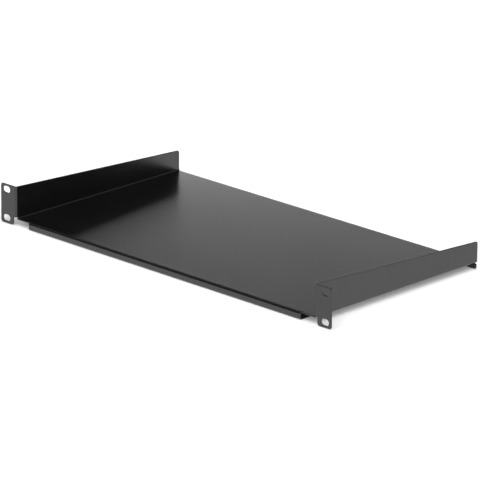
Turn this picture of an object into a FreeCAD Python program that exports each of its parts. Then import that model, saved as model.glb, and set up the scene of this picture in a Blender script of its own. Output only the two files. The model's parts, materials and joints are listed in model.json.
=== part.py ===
"""Cantilever shelf, one rack unit high, for a 19 inch equipment rack.

The shelf is one piece of sheet steel, cut flat and then folded. A flat pan carries the equipment. Its
sides fold up into walls that taper to the rear, and the front end of each wall folds outwards into a
slotted ear that bolts to the rack. The pan's front edge folds down and back into a stiffening channel,
and its rear edge folds down into a plain lip as deep as the channel, so the shelf also stands level.

Frame: X to the right, Y to the rear, Z up, in millimetres. The origin is midway between the four ear
slots, on the plane where the backs of the ears seat against the rack.
"""
import FreeCAD
import Part

import math
import os

# Sheet
SHEET = 1.5                # thickness of the steel
BEND_INSIDE = 1.0          # inside radius of every fold
CUT_GAP = 0.8              # width of the relief cuts between neighbouring folds

# Body
BODY_WIDTH = 438.2         # over the outer faces of the walls
DEPTH = 246.0              # front face of the ears to rear face of the rear lip
PAN_RISE = 6.6             # underside of the pan above the lower edge of the ears
WALL_FALL = 13.3           # from the walls' top edge at the ears down to its rear end
WALL_CORNER = 3.0          # radius of the walls' upper rear corner

# Ears
EAR_HEIGHT = 43.66         # one rack unit of 44.45, less the usual clearance
EAR_WIDTH = 22.2           # outer face of the wall to the outer edge of the ear
EAR_CORNER = 3.0           # radius of the ears' corners
FOOT_GAP = 2.9             # outer face of the wall to the foot of the ear, which reaches below the pan
SLOT_LENGTH = 10.5
SLOT_HEIGHT = 7.0
SLOT_FROM_SIDE = 8.75      # centre of a slot to the outer edge of the ear
SLOT_FROM_END = 5.955      # centre of a slot to the upper or lower edge of the ear

# Channel and lip
LIP_HEIGHT = 8.5           # top of the pan to the underside of the channel and the rear lip
CHANNEL_INSET = 20.35      # outer face of the wall to the end of the channel
CHANNEL_DEPTH = 18.0       # front face of the channel to the rear edge of its lower flange
REAR_LIP_INSET = 0.75      # outer face of the wall to the end of the rear lip
REAR_LIP_CORNER = 2.5      # radius of the rear lip's lower corners

# Places that several features share
BEND_OUTSIDE = BEND_INSIDE + SHEET
HALF_BODY = BODY_WIDTH / 2
HALF_SPAN = HALF_BODY + EAR_WIDTH
EAR_TOP = EAR_HEIGHT / 2
EAR_BOTTOM = -EAR_HEIGHT / 2
PAN_BOTTOM = EAR_BOTTOM + PAN_RISE
PAN_TOP = PAN_BOTTOM + SHEET
LIP_BOTTOM = PAN_TOP - LIP_HEIGHT
EAR_BACK = 0.0
FRONT = EAR_BACK - SHEET
REAR = FRONT + DEPTH
PAN_EDGE = EAR_BACK                                # the pan's cut edge between channel and ear
HALF_CHANNEL = HALF_BODY - CHANNEL_INSET
SIDE_FOLD_TOP = PAN_BOTTOM + BEND_OUTSIDE          # above this the walls are flat
HALF_FLAT_PAN = HALF_BODY - BEND_OUTSIDE           # outside this the pan folds up into the walls
FRONT_FOLD_END = FRONT + BEND_OUTSIDE + CUT_GAP    # the front folds and their relief cuts end here
REAR_FOLD_START = REAR - BEND_OUTSIDE - CUT_GAP    # the rear fold and its relief cuts start here

RIGHT = FreeCAD.Vector(1, 0, 0)
REARWARDS = FreeCAD.Vector(0, 1, 0)
UP = FreeCAD.Vector(0, 0, 1)


def front_view(x, z):
    """Point of an outline seen from the front."""
    return FreeCAD.Vector(x, 0, z)


def side_view(y, z):
    """Point of an outline seen from the right."""
    return FreeCAD.Vector(0, y, z)


def top_view(x, y):
    """Point of an outline seen from above."""
    return FreeCAD.Vector(x, y, 0)


def rounded_path(corners, radii):
    """Edges along the corners, with each inner corner rounded to its radius, or sharp where that is 0."""
    edges = []
    start = corners[0]
    for before, corner, after, radius in zip(corners, corners[1:], corners[2:], radii):
        arriving = (corner - before).normalize()
        leaving = (after - corner).normalize()
        inwards = (leaving - arriving).normalize()
        half_turn = arriving.getAngle(leaving) / 2
        setback = radius * math.tan(half_turn)
        arc_start = corner - arriving * setback
        arc_end = corner + leaving * setback
        edges.append(Part.makeLine(start, arc_start))
        if radius:
            arc_middle = corner + inwards * (radius / math.cos(half_turn) - radius)
            edges.append(Part.Arc(arc_start, arc_middle, arc_end).toShape())
        start = arc_end
    edges.append(Part.makeLine(start, corners[-1]))
    return edges


def folded_section(skin, towards_viewer):
    """Section through the folded sheet, whose one skin has these corners before they are rounded.

    The sheet lies to the left of the skin, as a viewer sees it who looks against towards_viewer.
    """
    directions = [(end - start).normalize() for start, end in zip(skin, skin[1:])]
    lefts = [towards_viewer.cross(direction) for direction in directions]
    other_skin = [skin[0] + lefts[0] * SHEET]
    radii = []
    other_radii = []
    for corner, left, next_left, next_direction in zip(skin[1:], lefts, lefts[1:], directions[1:]):
        other_skin.append(corner + (left + next_left) * (SHEET / (1 + left.dot(next_left))))
        folds_over_the_sheet = left.dot(next_direction) > 0
        radii.append(BEND_OUTSIDE if folds_over_the_sheet else BEND_INSIDE)
        other_radii.append(BEND_INSIDE if folds_over_the_sheet else BEND_OUTSIDE)
    other_skin.append(skin[-1] + lefts[-1] * SHEET)
    edges = rounded_path(skin, radii)
    edges.append(Part.makeLine(skin[-1], other_skin[-1]))
    edges += rounded_path(other_skin[::-1], other_radii[::-1])
    edges.append(Part.makeLine(other_skin[0], skin[0]))
    return Part.Face(Part.Wire(edges))


def outline(corners):
    """Face inside a closed outline of (point, radius) corners."""
    points = [point for point, radius in corners]
    radii = [radius for point, radius in corners]
    seam = (points[-1] + points[0]) / 2
    return Part.Face(Part.Wire(rounded_path([seam] + points + [seam], radii)))


def symmetric_outline(right_half):
    """Face inside an outline whose right half is given, from its lowest or foremost corner onwards."""
    left_half = [(FreeCAD.Vector(-point.x, point.y, point.z), radius) for point, radius in right_half]
    return outline(right_half + left_half[::-1])


def extruded(face, direction, start, end):
    """Solid that a face sweeps from start to end along a direction."""
    moved = face.translated(direction * start)
    return moved.extrude(direction * (end - start))


def trough():
    """Pan and both walls, with the tapered wall tops and the cut-outs for the folds at either end."""
    section = folded_section(
        [
            front_view(-HALF_BODY, EAR_TOP),
            front_view(-HALF_BODY, PAN_BOTTOM),
            front_view(HALF_BODY, PAN_BOTTOM),
            front_view(HALF_BODY, EAR_TOP),
        ],
        -REARWARDS,
    )
    wall_profile = outline(
        [
            (side_view(PAN_EDGE, PAN_BOTTOM), 0),
            (side_view(REAR, PAN_BOTTOM), 0),
            (side_view(REAR, EAR_TOP - WALL_FALL), WALL_CORNER),
            (side_view(FRONT_FOLD_END, EAR_TOP), 0),
            (side_view(FRONT_FOLD_END, SIDE_FOLD_TOP - CUT_GAP), 0),
            (side_view(PAN_EDGE, SIDE_FOLD_TOP - CUT_GAP), 0),
        ]
    )
    pan_profile = symmetric_outline(
        [
            (top_view(HALF_CHANNEL + CUT_GAP, FRONT_FOLD_END), 0),
            (top_view(HALF_CHANNEL + CUT_GAP, PAN_EDGE), 0),
            (top_view(HALF_BODY, PAN_EDGE), 0),
            (top_view(HALF_BODY, REAR), 0),
            (top_view(HALF_FLAT_PAN, REAR), 0),
            (top_view(HALF_FLAT_PAN, REAR_FOLD_START), 0),
        ]
    )
    folded = extruded(section, REARWARDS, PAN_EDGE, REAR)
    folded = folded.common(extruded(wall_profile, RIGHT, -HALF_BODY, HALF_BODY))
    return folded.common(extruded(pan_profile, UP, PAN_BOTTOM, EAR_TOP))


def channel():
    """Front edge of the pan, folded down and then back under it."""
    section = folded_section(
        [
            side_view(FRONT_FOLD_END, PAN_TOP),
            side_view(FRONT, PAN_TOP),
            side_view(FRONT, LIP_BOTTOM),
            side_view(FRONT + CHANNEL_DEPTH, LIP_BOTTOM),
        ],
        RIGHT,
    )
    return extruded(section, RIGHT, -HALF_CHANNEL, HALF_CHANNEL)


def rear_lip():
    """Rear edge of the pan, folded down, with a wing at each end that reaches out below the wall."""
    section = folded_section(
        [
            side_view(REAR, LIP_BOTTOM),
            side_view(REAR, PAN_TOP),
            side_view(REAR_FOLD_START, PAN_TOP),
        ],
        RIGHT,
    )
    half_width = HALF_BODY - REAR_LIP_INSET
    half_fold = HALF_FLAT_PAN - CUT_GAP
    wing_top = PAN_TOP - BEND_OUTSIDE
    lip_profile = symmetric_outline(
        [
            (front_view(half_width, LIP_BOTTOM), REAR_LIP_CORNER),
            (front_view(half_width, wing_top), 0),
            (front_view(half_fold, wing_top), 0),
            (front_view(half_fold, PAN_TOP), 0),
        ]
    )
    folded = extruded(section, RIGHT, -half_width, half_width)
    return folded.common(extruded(lip_profile, REARWARDS, REAR_FOLD_START, REAR))


def slot(x, z):
    """Face of one ear slot, with round ends, about its centre."""
    end_radius = SLOT_HEIGHT / 2
    reach = SLOT_LENGTH / 2 - end_radius
    lower_left = front_view(x - reach, z - end_radius)
    lower_right = front_view(x + reach, z - end_radius)
    upper_right = front_view(x + reach, z + end_radius)
    upper_left = front_view(x - reach, z + end_radius)
    right_tip = front_view(x + reach + end_radius, z)
    left_tip = front_view(x - reach - end_radius, z)
    edges = [
        Part.makeLine(lower_left, lower_right),
        Part.Arc(lower_right, right_tip, upper_right).toShape(),
        Part.makeLine(upper_right, upper_left),
        Part.Arc(upper_left, left_tip, lower_left).toShape(),
    ]
    return Part.Face(Part.Wire(edges))


def right_ear():
    """Front end of the right wall, folded outwards, with its foot beside the pan and its two slots."""
    section = folded_section(
        [
            top_view(HALF_SPAN, EAR_BACK),
            top_view(HALF_BODY, EAR_BACK),
            top_view(HALF_BODY, FRONT_FOLD_END),
        ],
        UP,
    )
    ear_profile = outline(
        [
            (front_view(HALF_BODY - SHEET, SIDE_FOLD_TOP), 0),
            (front_view(HALF_BODY + FOOT_GAP, SIDE_FOLD_TOP), 0),
            (front_view(HALF_BODY + FOOT_GAP, EAR_BOTTOM), EAR_CORNER),
            (front_view(HALF_SPAN, EAR_BOTTOM), EAR_CORNER),
            (front_view(HALF_SPAN, EAR_TOP), EAR_CORNER),
            (front_view(HALF_BODY - SHEET, EAR_TOP), 0),
        ]
    )
    folded = extruded(section, UP, EAR_BOTTOM, EAR_TOP)
    ear = folded.common(extruded(ear_profile, REARWARDS, FRONT, FRONT_FOLD_END))
    for height in (EAR_BOTTOM + SLOT_FROM_END, EAR_TOP - SLOT_FROM_END):
        opening = slot(HALF_SPAN - SLOT_FROM_SIDE, height)
        ear = ear.cut(extruded(opening, REARWARDS, FRONT, EAR_BACK))
    return ear


ear = right_ear()
other_ear = ear.mirror(FreeCAD.Vector(), RIGHT)
shelf = trough().fuse([channel(), rear_lip(), ear, other_ear]).removeSplitter()

os.makedirs("parts", exist_ok=True)
shelf.exportStep("parts/shelf.step")
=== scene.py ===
"""Cantilever rack shelf in black powder coat, on a plain white floor under soft studio light."""

import json
import math

import bmesh
import bpy
from mathutils import Matrix, Quaternion, Vector


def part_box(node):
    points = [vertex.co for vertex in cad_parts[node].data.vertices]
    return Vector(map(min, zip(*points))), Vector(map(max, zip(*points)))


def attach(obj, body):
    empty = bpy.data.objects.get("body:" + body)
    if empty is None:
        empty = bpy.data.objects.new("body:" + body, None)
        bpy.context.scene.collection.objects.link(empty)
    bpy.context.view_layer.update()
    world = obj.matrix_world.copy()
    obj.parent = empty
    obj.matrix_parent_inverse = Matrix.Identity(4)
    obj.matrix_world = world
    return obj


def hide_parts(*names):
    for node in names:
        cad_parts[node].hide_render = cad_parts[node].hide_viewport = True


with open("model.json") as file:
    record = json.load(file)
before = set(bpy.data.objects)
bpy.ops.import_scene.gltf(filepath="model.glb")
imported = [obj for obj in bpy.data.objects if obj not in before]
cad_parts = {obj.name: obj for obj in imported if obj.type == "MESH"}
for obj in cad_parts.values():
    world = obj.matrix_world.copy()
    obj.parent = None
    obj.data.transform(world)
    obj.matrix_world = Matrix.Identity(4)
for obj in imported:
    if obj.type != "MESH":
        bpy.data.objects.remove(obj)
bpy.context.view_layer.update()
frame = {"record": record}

MM = 0.001                      # lengths are in metres
QUARTER_TURN = math.pi / 2
FORWARDS = Vector((0, -1, 0))
REARWARDS = Vector((0, 1, 0))
RIGHT = Vector((1, 0, 0))
LEFT = Vector((-1, 0, 0))
UP = Vector((0, 0, 1))
DOWN = Vector((0, 0, -1))
REAR_LEFT = Vector((-0.69, 0.72, 0)).normalized()   # towards the softboxes that stand on the floor

# Sizes that the frame gives
lowest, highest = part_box("shelf")
mounts = {mount["name"]: mount for mount in frame["record"]["mounts"]}
slot_sizes = mounts["rack_slots"]["dims"]
HALF_SPAN = highest.x
REAR = highest.y
EAR_TOP = highest.z
EAR_BOTTOM = -highest.z         # the ears reach as far down as up
LIP_BOTTOM = lowest.z
EAR_BACK = mounts["rack_slots"]["pos_m"][1]
PAN_TOP = mounts["pan_top"]["pos_m"][2]
SLOT_ACROSS = slot_sizes["spacing_x_mm"] / 2 * MM
SLOT_HEIGHT = slot_sizes["spacing_y_mm"] / 2 * MM
SLOT_RADIUS = slot_sizes["hole_r_mm"] * MM
SLOT_LENGTH = slot_sizes["slot_length_mm"] * MM

# Sizes of the folded sheet
SHEET = 1.5 * MM
BEND_INSIDE = 1.0 * MM          # inside radius of every fold
CUT_GAP = 0.8 * MM              # width of the relief cuts
HALF_BODY = 219.1 * MM          # to the outer face of a wall
WALL_FALL = 13.3 * MM           # from the walls' top edge at the ears down to its rear end
WALL_CORNER = 3.0 * MM
EAR_CORNER = 3.0 * MM
FOOT_GAP = 2.9 * MM             # outer face of a wall to the foot of its ear
HALF_CHANNEL = 198.75 * MM
CHANNEL_DEPTH = 18.0 * MM
REAR_LIP_INSET = 0.75 * MM      # outer face of a wall to the end of the rear lip
REAR_LIP_CORNER = 2.5 * MM
PAN_CORNER = 0.8                # share of the wall's fold that the pan's front corners keep

# How finely the mesh follows them
FOLD_STRIPS = 10                # flat strips across a fold
CORNER_STEPS = 8                # straight edges round a corner
EDGE_STEPS = 3                  # faces across a softened edge
SHARP_EDGE = math.radians(40)   # an edge that turns by more than this is softened
SAME_PLANE = math.radians(1)    # faces that turn by less than this are joined
ON_A_LINE = 0.001 * MM

# Powder coat
COAT_EDGE = 0.55 * MM           # radius that the coat leaves on every cut edge
COAT_DARKER = (0.002, 0.002, 0.0021, 1)
COAT_LIGHTER = (0.004, 0.004, 0.0042, 1)
COAT_IOR = 1.66
COAT_ROUGHNESS = 0.225          # to which the clouds and the grain add
CLOUDS_ROUGHNESS = 0.05
GRAIN_ROUGHNESS = 0.02
PEEL_SIZE = 1.8 * MM            # of the orange peel that baking leaves
GRAIN_SIZE = 0.35 * MM
CLOUDS_SIZE = 90 * MM
RELIEF = 0.006 * MM             # from the coat's hollows to its tops
GRAIN_IN_TONE = 0.7             # share of the grain in the tone, where the clouds are the rest
GRAIN_IN_RELIEF = 0.25          # share of the grain in the relief, where the peel is the rest

# Floor
FLOOR_REACH = 60.0              # from the middle to each side
FLOOR_GAP = 0.02 * MM           # keeps the floor clear of the sheet that stands on it
FLOOR_COLOUR = (0.94, 0.94, 0.94, 1)
FLOOR_GLOW = 0.15
WHITE = (1, 1, 1, 1)

# Light, where a level of 1 renders white
SOFT_LIGHT = 2.58               # above the shelf, in front on its right
SOFT_LIGHT_MIDDLE = Vector((0.45, -0.45, 0.77)).normalized()
SOFT_LIGHT_CORE = 0.9           # cosine of the angle from its middle at which it begins to fade
SOFT_LIGHT_RIM = 0.5            # cosine of the angle at which it has faded out
SURROUNDINGS = 0.02             # all round, outside the soft light

# Camera, which looks from in front of the shelf on its right
AZIMUTH = math.radians(43.985)
ELEVATION = math.radians(18.635)
ROLL = math.radians(0.539)
AIM = Vector((-2.996, 119.184, -14.137)) * MM
CAMERA_DISTANCE = 4.9867
SENSOR_WIDTH = 36               # in millimetres, as is the focal length
FOCAL_LENGTH = 355.7
CLIP_END = 100


# ---- The blank: the shelf's sheet laid flat, measured along the middle of its thickness.
# Its x runs outwards over pan and wall, and its y runs rearwards over channel or ear, pan and rear lip.

BEND_OUTSIDE = BEND_INSIDE + SHEET
FOLD_RADIUS = BEND_INSIDE + SHEET / 2
FOLD_LENGTH = FOLD_RADIUS * QUARTER_TURN
PAN_MIDDLE = PAN_TOP - SHEET / 2
WALL_FOOT = PAN_TOP - SHEET + BEND_OUTSIDE      # height above which the walls are flat
LIP_FLAT = PAN_TOP - BEND_OUTSIDE - LIP_BOTTOM  # rear lip below its fold

wall_fold = HALF_BODY - BEND_OUTSIDE            # where each fold begins, counted from the pan
flat_wall = wall_fold + FOLD_LENGTH             # where the sheet is flat again
front_fold = EAR_BACK + BEND_INSIDE             # shared by the channel and both ears
flat_front = front_fold - FOLD_LENGTH
flange_fold = flat_front - (LIP_FLAT - BEND_OUTSIDE)
flat_flange = flange_fold - FOLD_LENGTH
flange_edge = flat_flange - (CHANNEL_DEPTH - BEND_OUTSIDE)
rear_fold = REAR - BEND_OUTSIDE
flat_lip = rear_fold + FOLD_LENGTH
lip_edge = flat_lip + LIP_FLAT
front_relief = front_fold + CUT_GAP
rear_relief = rear_fold - CUT_GAP
pan_corner = wall_fold + FOLD_LENGTH * PAN_CORNER


def up_the_wall(height):
    """The blank's x for a height on the wall or the ear."""
    return flat_wall + height - WALL_FOOT


def along_the_ear(across):
    """The blank's y for a distance across the ear, measured from the shelf's middle."""
    return flat_front - (across - HALF_BODY - BEND_INSIDE)


def rounded(corners):
    """Points round an outline of (x, y, radius) corners."""
    places = [Vector((x, y)) for x, y, radius in corners]
    points = []
    for index, corner in enumerate(places):
        radius = corners[index][2]
        arriving = (corner - places[index - 1]).normalized()
        leaving = (places[(index + 1) % len(places)] - corner).normalized()
        half_turn = arriving.angle(leaving) / 2
        hub = corner + (leaving - arriving).normalized() * (radius / math.cos(half_turn))
        spoke = corner - arriving * (radius * math.tan(half_turn)) - hub
        turn = 2 * half_turn * math.copysign(1, arriving.cross(leaving))
        for step in range(CORNER_STEPS + 1 if radius else 1):
            points.append(hub + Matrix.Rotation(turn * step / CORNER_STEPS, 2) @ spoke)
    return points


def blank_outline():
    """Outline of the whole blank, from the middle of the channel's flange and round by the right."""
    foot = along_the_ear(HALF_BODY + FOOT_GAP)
    ear_edge = along_the_ear(HALF_SPAN)
    right_half = rounded(
        [
            (0, flange_edge, 0),
            (HALF_CHANNEL, flange_edge, 0),
            (HALF_CHANNEL, front_relief, 0),
            (HALF_CHANNEL + CUT_GAP, front_relief, 0),
            (HALF_CHANNEL + CUT_GAP, EAR_BACK, 0),
            (pan_corner, EAR_BACK, 0),
            (pan_corner, front_relief, 0),
            (flat_wall, front_relief, 0),
            (flat_wall, foot, 0),
            (up_the_wall(EAR_BOTTOM), foot, EAR_CORNER),
            (up_the_wall(EAR_BOTTOM), ear_edge, EAR_CORNER),
            (up_the_wall(EAR_TOP), ear_edge, EAR_CORNER),
            (up_the_wall(EAR_TOP), front_relief, 0),
            (up_the_wall(EAR_TOP - WALL_FALL), REAR, WALL_CORNER),
            (wall_fold, REAR, 0),
            (wall_fold, rear_relief, 0),
            (wall_fold - CUT_GAP, rear_relief, 0),
            (wall_fold - CUT_GAP, flat_lip, 0),
            (HALF_BODY - REAR_LIP_INSET, flat_lip, 0),
            (HALF_BODY - REAR_LIP_INSET, lip_edge, REAR_LIP_CORNER),
            (0, lip_edge, 0),
        ]
    )
    return right_half + mirrored(right_half[1:-1])


def slot_outline(height):
    """Outline of a slot in the right ear, with round ends."""
    lower = up_the_wall(height) - SLOT_RADIUS
    upper = up_the_wall(height) + SLOT_RADIUS
    near = along_the_ear(SLOT_ACROSS - SLOT_LENGTH / 2)
    far = along_the_ear(SLOT_ACROSS + SLOT_LENGTH / 2)
    corners = ((lower, near), (lower, far), (upper, far), (upper, near))
    return rounded([(x, y, SLOT_RADIUS) for x, y in corners])


def mirrored(points):
    """The same points on the other half of the blank, in the order that keeps an outline's turn."""
    return [Vector((-point.x, point.y)) for point in reversed(points)]


# ---- Folding


def rolled(point, outwards, start, towards, share):
    """Where a point goes when the fold that begins at start bends by a share of a right angle."""
    hub = outwards * start + towards * FOLD_RADIUS
    turn = QUARTER_TURN * share
    unrolled = point - outwards * (FOLD_RADIUS * turn)
    return hub + Quaternion(outwards.cross(towards), turn) @ (unrolled - hub)


def share_of_fold(distance):
    """Share of a right angle by which the sheet has turned at a distance past the start of its fold."""
    return min(max(distance / FOLD_LENGTH, 0), 1)


def folded(flat):
    """Where a point of the blank lies in the folded shelf. The outermost folds are bent first."""
    across = abs(flat.x)
    outwards = RIGHT if flat.x > 0 else LEFT
    front_share = share_of_fold(front_fold - flat.y)
    on_channel = flat.y < front_fold and across < HALF_CHANNEL + CUT_GAP / 2
    before_the_pan = flat.y < EAR_BACK - CUT_GAP
    before_the_wall = flat.y < front_fold and across > pan_corner + ON_A_LINE
    on_ear = (before_the_pan or before_the_wall) and not on_channel
    behind_the_pan = flat.y > rear_fold and across < wall_fold - CUT_GAP / 2
    on_rear_lip = behind_the_pan or flat.y > REAR + ON_A_LINE
    if on_channel:
        point = rolled(flat, FORWARDS, -flange_fold, DOWN, share_of_fold(flange_fold - flat.y))
        point = rolled(point, FORWARDS, -front_fold, DOWN, front_share)
    elif on_rear_lip:
        point = rolled(flat, REARWARDS, rear_fold, DOWN, share_of_fold(flat.y - rear_fold))
    elif on_ear:
        point = rolled(flat, FORWARDS, -front_fold, DOWN, front_share)
        point = rolled(point, outwards, wall_fold, UP, 1)
    else:
        point = rolled(flat, outwards, wall_fold, UP, share_of_fold(across - wall_fold))
    return point + UP * PAN_MIDDLE


def folded_sheet():
    """The shelf as a surface without thickness, through the middle of its sheet."""
    slots = [slot_outline(SLOT_HEIGHT), slot_outline(-SLOT_HEIGHT)]
    outlines = [blank_outline()] + slots + [mirrored(slot) for slot in slots]
    sheet = bmesh.new()
    for outline in outlines:
        corners = [sheet.verts.new((point.x, point.y, 0)) for point in outline]
        for corner, following in zip(corners, corners[1:] + corners[:1]):
            sheet.edges.new((corner, following))
    bmesh.ops.remove_doubles(sheet, verts=sheet.verts[:], dist=ON_A_LINE)
    bmesh.ops.triangle_fill(sheet, edges=sheet.edges[:], use_beauty=True)
    fold_starts = [
        (FORWARDS, -front_fold),
        (FORWARDS, -flange_fold),
        (REARWARDS, rear_fold),
        (RIGHT, wall_fold),
        (LEFT, wall_fold),
    ]
    for outwards, start in fold_starts:
        for strip in range(FOLD_STRIPS + 1):
            line = outwards * (start + FOLD_LENGTH * strip / FOLD_STRIPS)
            everything = sheet.verts[:] + sheet.edges[:] + sheet.faces[:]
            bmesh.ops.bisect_plane(sheet, geom=everything, dist=ON_A_LINE, plane_co=line, plane_no=outwards)
    for corner in sheet.verts:
        corner.co = folded(corner.co)
    bmesh.ops.recalc_face_normals(sheet, faces=sheet.faces[:])
    bmesh.ops.dissolve_limit(sheet, angle_limit=SAME_PLANE, verts=sheet.verts[:], edges=sheet.edges[:])
    return sheet


def make_shelf(coat):
    """The folded sheet with its thickness, and with its cut edges rounded by the coat."""
    mesh = bpy.data.meshes.new("folded_shelf")
    sheet = folded_sheet()
    sheet.to_mesh(mesh)
    sheet.free()
    mesh.shade_smooth()
    mesh.materials.append(coat)
    shelf = bpy.data.objects.new("folded_shelf", mesh)
    bpy.context.scene.collection.objects.link(shelf)
    thickness = shelf.modifiers.new("sheet_thickness", "SOLIDIFY")
    thickness.thickness = SHEET
    thickness.offset = 0
    thickness.use_even_offset = True
    edges = shelf.modifiers.new("coated_edges", "BEVEL")
    edges.width = COAT_EDGE
    edges.segments = EDGE_STEPS
    edges.limit_method = "ANGLE"
    edges.angle_limit = SHARP_EDGE
    edges.use_clamp_overlap = False
    edges.face_strength_mode = "FSTR_AFFECTED"
    shading = shelf.modifiers.new("flat_faces_stay_flat", "WEIGHTED_NORMAL")
    shading.use_face_influence = True
    return shelf


# ---- Materials


class Value:
    """A node's output. An expression on numbers that vary over a surface adds its Math nodes."""

    def __init__(self, nodes, socket):
        self.nodes = nodes
        self.socket = socket

    def with_math(self, operation, first, second):
        return self.nodes.add("ShaderNodeMath", {"operation": operation}, {0: first, 1: second})

    def __add__(self, other):
        return self.with_math("ADD", self, other)

    __radd__ = __add__

    def __mul__(self, other):
        return self.with_math("MULTIPLY", self, other)

    __rmul__ = __mul__


class Nodes:
    """The nodes of one material or of the world."""

    def __init__(self, owner):
        owner.use_nodes = True
        self.tree = owner.node_tree
        self.tree.nodes.clear()

    def add(self, kind, settings=None, inputs=None, output=0):
        """Adds a node with its settings and its inputs, each a constant or another node's output."""
        node = self.tree.nodes.new(kind)
        for name, setting in (settings or {}).items():
            setattr(node, name, setting)
        for name, given in (inputs or {}).items():
            if isinstance(given, Value):
                self.tree.links.new(given.socket, node.inputs[name])
            else:
                node.inputs[name].default_value = given
        return Value(self, node.outputs[output]) if node.outputs else node


def black_powder_coat():
    """Satin black powder coat: a dark ground, a soft sheen, and the fine orange peel of baked powder."""
    material = bpy.data.materials.new("black_powder_coat")
    nodes = Nodes(material)
    place = nodes.add("ShaderNodeTexCoord", output="Object")

    def noise(size, detail):
        inputs = {"Vector": place, "Scale": 1 / size, "Detail": detail}
        return nodes.add("ShaderNodeTexNoise", {"noise_dimensions": "3D"}, inputs)

    peel = noise(PEEL_SIZE, detail=1)
    grain = noise(GRAIN_SIZE, detail=2)
    clouds = noise(CLOUDS_SIZE, detail=2)
    mottle = grain * GRAIN_IN_TONE + clouds * (1 - GRAIN_IN_TONE)
    tone = nodes.add(
        "ShaderNodeMix",
        {"data_type": "RGBA"},
        {"Factor": mottle, "A": COAT_DARKER, "B": COAT_LIGHTER},
        output="Result",
    )
    relief = peel * (1 - GRAIN_IN_RELIEF) + grain * GRAIN_IN_RELIEF
    surface = nodes.add("ShaderNodeBump", None, {"Strength": 1, "Distance": RELIEF, "Height": relief})
    shader = nodes.add(
        "ShaderNodeBsdfPrincipled",
        None,
        {
            "Base Color": tone,
            "Roughness": COAT_ROUGHNESS + clouds * CLOUDS_ROUGHNESS + grain * GRAIN_ROUGHNESS,
            "IOR": COAT_IOR,
            "Normal": surface,
        },
    )
    nodes.add("ShaderNodeOutputMaterial", None, {"Surface": shader})
    return material


def white_floor():
    """Matt white floor, with a faint glow that the eye, gloss and glass see and that lights nothing."""
    material = bpy.data.materials.new("white_floor")
    nodes = Nodes(material)
    by_eye = nodes.add("ShaderNodeLightPath", output="Is Camera Ray")
    in_gloss = nodes.add("ShaderNodeLightPath", output="Is Glossy Ray")
    through_glass = nodes.add("ShaderNodeLightPath", output="Is Transmission Ray")
    seen = by_eye + in_gloss + through_glass
    paint = nodes.add("ShaderNodeBsdfDiffuse", None, {"Color": FLOOR_COLOUR})
    glow = nodes.add("ShaderNodeEmission", None, {"Color": WHITE, "Strength": FLOOR_GLOW})
    glowing = nodes.add("ShaderNodeAddShader", None, {0: paint, 1: glow})
    surface = nodes.add("ShaderNodeMixShader", None, {"Fac": seen, 1: paint, 2: glowing})
    nodes.add("ShaderNodeOutputMaterial", None, {"Surface": surface})
    return material


# ---- Stage, light and camera


def make_floor():
    """A square of floor under the shelf, which stands on its channel and its rear lip."""
    mesh = bpy.data.meshes.new("floor")
    square = bmesh.new()
    height = LIP_BOTTOM - FLOOR_GAP
    signs = ((-1, -1), (1, -1), (1, 1), (-1, 1))
    corners = [square.verts.new((x * FLOOR_REACH, y * FLOOR_REACH, height)) for x, y in signs]
    square.faces.new(corners)
    square.to_mesh(mesh)
    square.free()
    mesh.materials.append(white_floor())
    floor = bpy.data.objects.new("floor", mesh)
    bpy.context.scene.collection.objects.link(floor)


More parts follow.
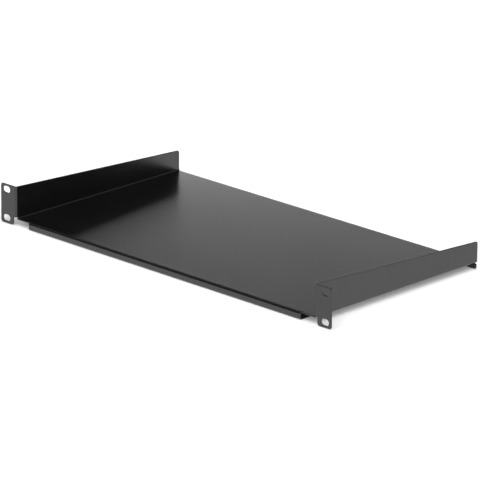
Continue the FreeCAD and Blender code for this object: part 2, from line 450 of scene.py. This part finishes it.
def studio_light():
    """One broad soft light in dim surroundings, and softboxes that show in the gloss."""
    world = bpy.data.worlds.new("studio")
    bpy.context.scene.world = world
    nodes = Nodes(world)
    direction = nodes.add("ShaderNodeTexCoord", output="Generated")
    nearness = nodes.add(
        "ShaderNodeVectorMath",
        {"operation": "DOT_PRODUCT"},
        {0: direction, 1: SOFT_LIGHT_MIDDLE},
        output="Value",
    )
    level = nodes.add(
        "ShaderNodeMapRange",
        {"interpolation_type": "SMOOTHSTEP"},
        {
            "Value": nearness,
            "From Min": SOFT_LIGHT_RIM,
            "From Max": SOFT_LIGHT_CORE,
            "To Min": SURROUNDINGS,
            "To Max": SOFT_LIGHT,
        },
    )
    background = nodes.add("ShaderNodeBackground", None, {"Color": WHITE, "Strength": level})
    nodes.add("ShaderNodeOutputWorld", None, {"Surface": background})
    standing_softbox("low_strip", distance=0.67, width=3.1, height=0.1, level=1.9)
    standing_softbox("low_panel", distance=8.0, width=4.3, height=2.15, level=1.5)
    softbox("left_softbox", Vector((-2.0, 0.0, 2.3)), width=0.7, height=0.7, level=0.8)
    softbox("rear_softbox", Vector((0.45, 2.1, 2.1)), width=1.4, height=1.2, level=0.4)


def standing_softbox(name, distance, width, height, level):
    """A softbox that stands on the floor behind the shelf, on its left."""
    middle = REAR_LEFT * distance + UP * (LIP_BOTTOM + height / 2)
    softbox(name, middle, width, height, level)


def softbox(name, place, width, height, level):
    """A rectangular lamp that faces the shelf's origin and is itself out of sight."""
    light = bpy.data.lights.new(name, "AREA")
    light.shape = "RECTANGLE"
    light.size = width
    light.size_y = height
    light.energy = level * width * height * math.pi
    lamp = bpy.data.objects.new(name, light)
    bpy.context.scene.collection.objects.link(lamp)
    lamp.location = place
    lamp.rotation_mode = "QUATERNION"
    lamp.rotation_quaternion = place.to_track_quat("Z", "Y")
    lamp.visible_camera = False


def make_camera():
    """A long lens on the middle of the shelf, with a slight roll."""
    level_back = Vector((math.sin(AZIMUTH), -math.cos(AZIMUTH), 0))
    back = level_back * math.cos(ELEVATION) + UP * math.sin(ELEVATION)
    across = Vector((math.cos(AZIMUTH), math.sin(AZIMUTH), 0))
    upwards = back.cross(across)
    data = bpy.data.cameras.new("camera")
    data.sensor_width = SENSOR_WIDTH
    data.lens = FOCAL_LENGTH
    data.clip_end = CLIP_END
    camera = bpy.data.objects.new("camera", data)
    bpy.context.scene.collection.objects.link(camera)
    turned_across = across * math.cos(ROLL) + upwards * math.sin(ROLL)
    turned_up = upwards * math.cos(ROLL) - across * math.sin(ROLL)
    axes = Matrix((turned_across, turned_up, back)).transposed()
    camera.matrix_world = Matrix.Translation(AIM + back * CAMERA_DISTANCE) @ axes.to_4x4()
    bpy.context.scene.camera = camera


shelf = make_shelf(black_powder_coat())
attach(shelf, "root")
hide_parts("shelf")
make_floor()
studio_light()
make_camera()
bpy.context.scene.view_settings.view_transform = "Standard"
